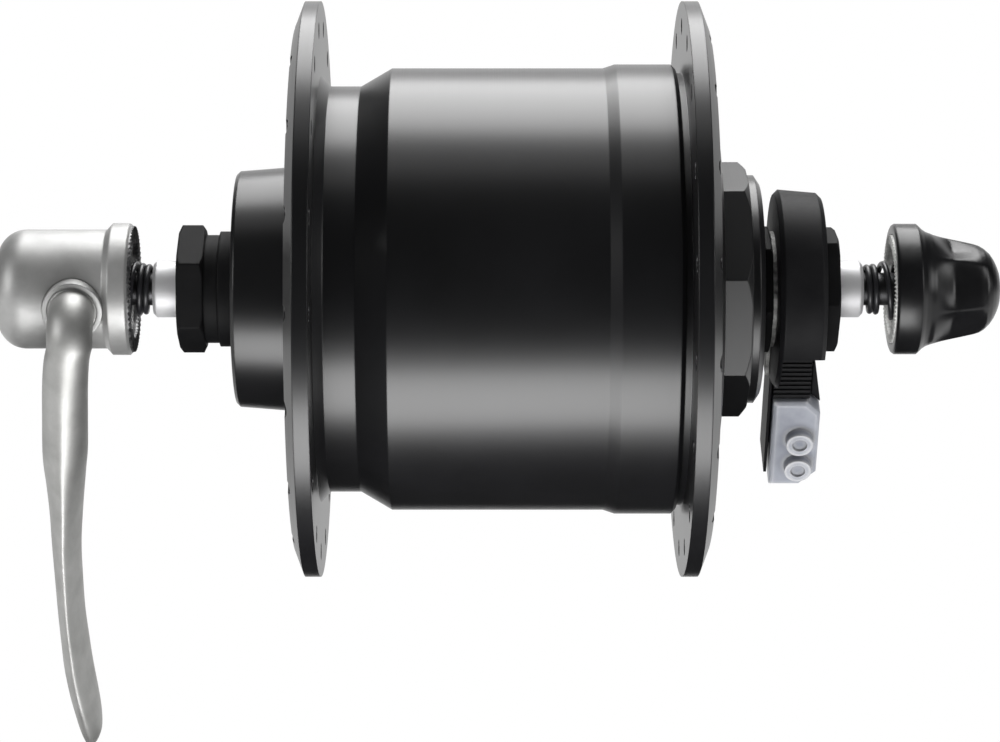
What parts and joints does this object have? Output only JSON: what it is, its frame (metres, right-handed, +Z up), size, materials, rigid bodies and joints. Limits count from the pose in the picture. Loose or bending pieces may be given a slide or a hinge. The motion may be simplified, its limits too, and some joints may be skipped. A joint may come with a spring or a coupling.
{
  "type": "hub dynamo",
  "caption": "Front wheel hub dynamo: a stepped black shell with two spoke flanges, claw-pole generator inside, plug-in lamp connector and quick-release skewer.",
  "frame": {"origin": "on the axle's centre line, midway between the two lock-nut faces that sit in the fork", "axes": "+X along the axle towards the connector and the skewer nut, +Z up, -Y to the front"},
  "size_m": [0.1527, 0.0876, 0.114],
  "materials": {
    "shell_black": "black anodised, finely turned and polished, satin gloss",
    "axle_silver": "bright turned steel",
    "nut_black": "black oxide, satin",
    "cone_steel": "ground steel",
    "plate_grey": "raw stamped steel, slightly rough",
    "ball_steel": "polished",
    "cage_polymer": "moulded, natural colour",
    "rubber_black": "matt",
    "iron_grey": "soft iron, blank",
    "magnet_dark": "sintered ferrite, dark grey",
    "bobbin_polymer": "moulded, off-white",
    "copper_wire": "enamelled copper wire",
    "contact_brass": "stamped brass, tin plated",
    "housing_black": "moulded, satin black",
    "plug_black": "moulded, ribbed, satin black",
    "cover_grey": "moulded, light blue-grey, slightly translucent",
    "lever_silver": "forged, pearly satin silver",
    "qr_silver": "turned, pearly satin silver",
    "tooth_steel": "hardened steel, dark",
    "rod_steel": "plated steel",
    "spring_black": "black spring wire",
    "qr_nut_black": "gloss black anodised",
    "insert_pale": "serrated, pale",
    "ring_nylon": "nylon, natural"
  },
  "bodies": {
    "axle_group": {"axle": "axle_silver", "left_cone": "nut_black", "right_cone": "nut_black", "left_lock_nut": "nut_black", "right_lock_nut": "nut_black", "left_spacer": "nut_black", "clamp_nut": "nut_black", "earth_plate": "plate_grey", "connector_housing": "housing_black", "live_contact": "contact_brass", "earth_contact": "contact_brass", "stator_core": "iron_grey", "left_yoke": "iron_grey", "right_yoke": "iron_grey", "bobbin": "bobbin_polymer", "coil": "copper_wire", "coil_lead": "copper_wire", "stator_washers": "cone_steel", "left_stator_nut": "cone_steel", "right_stator_nut": "cone_steel"},
    "hub_body": {"hub_shell": "shell_black", "end_cap": "shell_black", "left_cup": "cone_steel", "right_cup": "cone_steel", "left_dust_cap": "nut_black", "right_dust_cap": "nut_black", "left_seal": "rubber_black", "right_seal": "rubber_black", "back_iron": "iron_grey", "magnets": "magnet_dark"},
    "left_bearing": {"left_balls": "ball_steel", "left_cage": "cage_polymer"},
    "right_bearing": {"right_balls": "ball_steel", "right_cage": "cage_polymer"},
    "skewer": {"skewer_rod": "rod_steel", "left_spring": "spring_black"},
    "qr_body": {"qr_housing": "qr_silver", "tooth_ring": "tooth_steel", "lever_bush": "qr_silver"},
    "lever_body": {"lever": "lever_silver"},
    "nut_spring": {"right_spring": "spring_black"},
    "nut_body": {"qr_nut": "qr_nut_black", "nut_insert": "insert_pale", "nut_lock_ring": "ring_nylon"},
    "plug_body": {"connector_plug": "plug_black"},
    "cover_body": {"connector_cover": "cover_grey"}
  },
  "joints": [
    {"name": "hub_spin", "type": "hinge", "parent": "axle_group", "child": "hub_body", "pos_m": [0, 0, 0], "axis": [1, 0, 0], "continuous": true},
    {"name": "left_ball_roll", "type": "hinge", "parent": "axle_group", "child": "left_bearing", "pos_m": [-0.0366, 0, 0], "axis": [1, 0, 0], "continuous": true},
    {"name": "right_ball_roll", "type": "hinge", "parent": "axle_group", "child": "right_bearing", "pos_m": [0.03349, 0, 0], "axis": [1, 0, 0], "continuous": true},
    {"name": "skewer_turn", "type": "hinge", "parent": "axle_group", "child": "skewer", "pos_m": [0, 0, 0], "axis": [1, 0, 0], "continuous": true},
    {"name": "cam_slide", "type": "slide", "parent": "skewer", "child": "qr_body", "axis": [-1, 0, 0], "range_m": [0, 0.00301], "deforming": ["left_spring"]},
    {"name": "lever_swing", "type": "hinge", "parent": "qr_body", "child": "lever_body", "pos_m": [-0.0655, 0, 0], "axis": [0, 0.9367, 0.3502], "range_deg": [0, 180]},
    {"name": "nut_travel", "type": "slide", "parent": "skewer", "child": "nut_spring", "axis": [1, 0, 0], "range_m": [-0.00161, 0.00401], "deforming": ["right_spring"]},
    {"name": "nut_turn", "type": "hinge", "parent": "nut_spring", "child": "nut_body", "pos_m": [0.0585, 0, 0], "axis": [1, 0, 0], "range_deg": [-720, 1800]},
    {"name": "plug_pull", "type": "slide", "parent": "axle_group", "child": "plug_body", "axis": [0, 0.6157, -0.788], "range_m": [0, 0.018]},
    {"name": "cover_pull", "type": "slide", "parent": "plug_body", "child": "cover_body", "axis": [0, 0.6157, -0.788], "range_m": [0, 0.016]}
  ],
  "couplings": [
    {"joint": "left_ball_roll", "follows": "hub_spin", "ratio": 0.5935},
    {"joint": "right_ball_roll", "follows": "hub_spin", "ratio": 0.5935},
    {"joint": "cam_slide", "follows": "lever_swing", "m_per_rad": 0.00095493},
    {"joint": "nut_travel", "follows": "nut_turn", "m_per_rad": 0.00012732}
  ]
}
